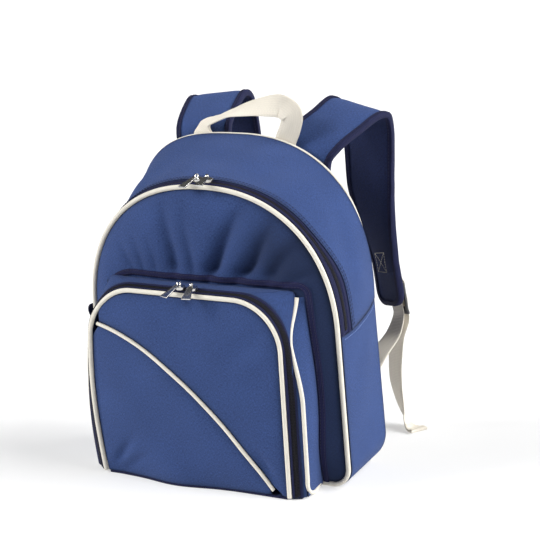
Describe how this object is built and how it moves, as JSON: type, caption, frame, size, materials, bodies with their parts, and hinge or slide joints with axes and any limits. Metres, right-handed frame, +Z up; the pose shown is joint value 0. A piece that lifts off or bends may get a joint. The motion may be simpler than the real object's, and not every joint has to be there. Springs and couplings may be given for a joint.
{
  "type": "picnic backpack",
  "caption": "Soft upright picnic backpack with a domed zipped main compartment, a boxy piped front pocket, a webbing grab handle and padded shoulder straps.",
  "frame": {"origin": "middle of the main compartment's base, on the floor", "axes": "+Z up, +Y towards the wearer's back, +X to the right seen from the front pocket"},
  "size_m": [0.3145, 0.3026, 0.3941],
  "materials": {
    "blue_cloth": "woven polyester, matt",
    "navy_tape": "woven tape, matt",
    "cream_piping": "smooth covered cord",
    "cream_webbing": "ribbed woven webbing",
    "zip_metal": "gunmetal plating",
    "grey_plastic": "moulded, satin"
  },
  "bodies": {
    "root": {"main_front_panel": "blue_cloth", "main_gusset_upper": "blue_cloth", "main_gusset_lower": "blue_cloth", "pocket_panel_lower": "blue_cloth", "pocket_panel_upper": "blue_cloth", "pocket_top": "blue_cloth", "pocket_side_left": "blue_cloth", "pocket_side_right": "blue_cloth", "pocket_base": "blue_cloth", "shoulder_strap_left": "blue_cloth", "shoulder_strap_right": "blue_cloth", "main_zip": "navy_tape", "pocket_zip": "navy_tape", "zip_end_tab": "navy_tape", "back_panel": "navy_tape", "pocket_binding": "navy_tape", "strap_binding_left": "navy_tape", "strap_binding_right": "navy_tape", "main_piping": "cream_piping", "back_piping": "cream_piping", "pocket_piping": "cream_piping", "pocket_accent_piping": "cream_piping", "pocket_side_piping_left": "cream_piping", "pocket_side_piping_right": "cream_piping", "buckle_loop_left": "cream_webbing", "buckle_loop_right": "cream_webbing", "adjuster_webbing_left": "cream_webbing", "adjuster_webbing_right": "cream_webbing", "grab_handle": "cream_webbing", "main_slider_left": "zip_metal", "main_slider_right": "zip_metal", "pocket_slider_left": "zip_metal", "pocket_slider_right": "zip_metal", "buckle_left": "grey_plastic", "buckle_right": "grey_plastic"},
    "main_pull_left": {"main_pull_left": "zip_metal"},
    "main_pull_right": {"main_pull_right": "zip_metal"},
    "pocket_pull_left": {"pocket_pull_left": "zip_metal"},
    "pocket_pull_right": {"pocket_pull_right": "zip_metal"}
  },
  "joints": [
    {"name": "main_pull_left_hinge", "type": "hinge", "parent": "root", "child": "main_pull_left", "pos_m": [-0.00674, -0.06178, 0.32384], "axis": [-0.9659, 0.2588, 0], "range_deg": [0, 125]},
    {"name": "main_pull_right_hinge", "type": "hinge", "parent": "root", "child": "main_pull_right", "pos_m": [0.00532, -0.06171, 0.32387], "axis": [-0.9925, -0.1219, 0], "range_deg": [0, 125]},
    {"name": "pocket_pull_left_hinge", "type": "hinge", "parent": "root", "child": "pocket_pull_left", "pos_m": [-0.0082, -0.10457, 0.2196], "axis": [-0.9613, 0.2756, 0], "range_deg": [0, 125]},
    {"name": "pocket_pull_right_hinge", "type": "hinge", "parent": "root", "child": "pocket_pull_right", "pos_m": [0.0064, -0.10457, 0.2196], "axis": [-0.9659, -0.2588, 0], "range_deg": [0, 125]}
  ]
}
